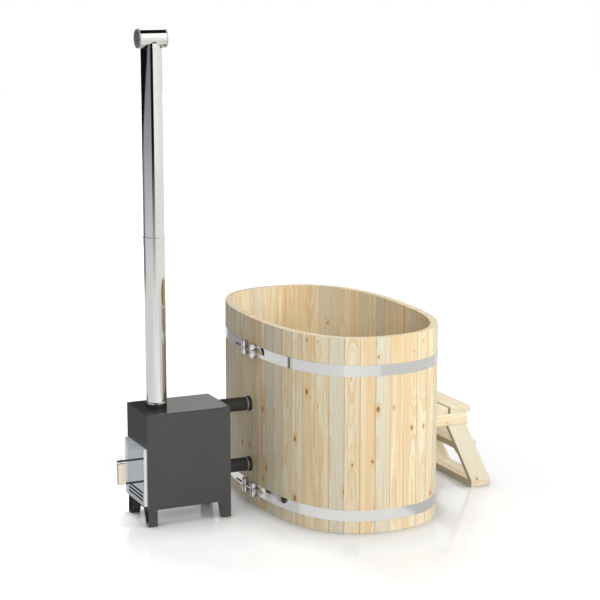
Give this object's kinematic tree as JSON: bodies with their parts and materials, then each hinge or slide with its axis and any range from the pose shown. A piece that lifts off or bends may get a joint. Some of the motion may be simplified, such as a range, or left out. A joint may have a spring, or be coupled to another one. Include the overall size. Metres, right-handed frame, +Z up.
{
  "type": "wooden hot tub",
  "caption": "Oval staved wooden hot tub bound by two steel hoops, with an outside wood-fired water heater, tall steel flue with a tee cap, and a wooden step stool.",
  "frame": {"origin": "middle of the oval tub on the ground, on the underside of the middle floor bearer", "axes": "+Z up, +Y along the tub's long side, +X from the heater through the tub to the stool"},
  "size_m": [2.401, 1.7332, 2.8445],
  "materials": {
    "tub_wood": "planed and oiled larch, satin",
    "floor_wood": "planed larch, matt",
    "stool_wood": "sanded pine, satin",
    "grip_wood": "oiled, rounded edges",
    "polished_steel": "mirror polished stainless sheet",
    "bolt_steel": "bright turned stainless",
    "mesh_steel": "dull wire mesh",
    "black_enamel": "smooth dark grey heat-proof paint, semi gloss",
    "door_paint": "smooth light grey sheet, satin",
    "black_steel": "black heat-proof paint, satin",
    "fire_iron": "raw, sooty",
    "seal_cord": "woven heat-proof seal",
    "hose_rubber": "smooth black rubber, low sheen",
    "fitting_plastic": "black moulded plastic",
    "drain_brass": "satin cast brass"
  },
  "bodies": {
    "tub": {"staves_left": "tub_wood", "staves_front": "tub_wood", "staves_right": "tub_wood", "staves_back": "tub_wood", "floor_boards": "floor_wood", "floor_bearers": "floor_wood", "bench_slats": "floor_wood", "bench_frames": "floor_wood", "upper_hoop": "polished_steel", "lower_hoop": "polished_steel", "upper_barrels": "bolt_steel", "lower_barrels": "bolt_steel", "tension_nuts": "bolt_steel", "drain_fitting": "drain_brass", "drain_nut": "drain_brass", "upper_wall_fitting": "fitting_plastic", "lower_wall_fitting": "fitting_plastic", "wall_gaskets": "hose_rubber", "wall_nuts": "fitting_plastic", "inlet_guards": "bolt_steel", "upper_hose": "hose_rubber", "lower_hose": "hose_rubber", "tub_side_clamps": "polished_steel", "stove_side_clamps": "black_steel", "clamp_screws": "bolt_steel", "stove_casing": "black_enamel", "stove_top_plate": "black_enamel", "stove_legs": "black_enamel", "firebox": "fire_iron", "water_stubs": "black_steel", "grate_rails": "fire_iron", "fire_grate": "fire_iron", "ash_pan": "fire_iron", "flue_collar": "black_steel", "hinge_lugs": "black_enamel", "hinge_pins": "bolt_steel", "flue_lower": "polished_steel", "flue_upper": "polished_steel", "flue_screws": "bolt_steel", "cap_tee": "polished_steel", "cap_mesh": "mesh_steel"},
    "door": {"door_pan": "door_paint", "door_seal": "seal_cord", "heat_shield": "fire_iron", "shield_spacers": "bolt_steel", "door_knuckles": "door_paint", "handle_rods": "black_steel", "handle_grip": "grip_wood", "grip_screw": "bolt_steel"},
    "upper_bolt": {"upper_tension_bolt": "bolt_steel"},
    "lower_bolt": {"lower_tension_bolt": "bolt_steel"},
    "plug": {"drain_plug": "hose_rubber"},
    "stool": {"stool_planks": "stool_wood", "stool_rails": "stool_wood", "stool_front_legs": "stool_wood", "stool_back_legs": "stool_wood", "stool_tread": "stool_wood", "stool_cleats": "stool_wood", "stool_foot_board": "stool_wood", "stool_screws": "bolt_steel"}
  },
  "joints": [
    {"name": "door_swing", "type": "hinge", "parent": "tub", "child": "door", "pos_m": [-1.2583, 0.1132, 0.29], "axis": [0, 0, -1], "range_deg": [0, 120]},
    {"name": "upper_bolt_turn", "type": "hinge", "parent": "tub", "child": "upper_bolt", "pos_m": [-0.54107, 0, 0.9525], "axis": [0, 1, 0], "continuous": true},
    {"name": "lower_bolt_turn", "type": "hinge", "parent": "tub", "child": "lower_bolt", "pos_m": [-0.54107, 0, 0.1035], "axis": [0, 1, 0], "continuous": true},
    {"name": "plug_lift", "type": "slide", "parent": "tub", "child": "plug", "axis": [0, 0, 1], "range_m": [0, 0.08]},
    {"name": "stool_shift", "type": "slide", "parent": "tub", "child": "stool", "axis": [1, 0, 0], "range_m": [0, 0.6]}
  ]
}
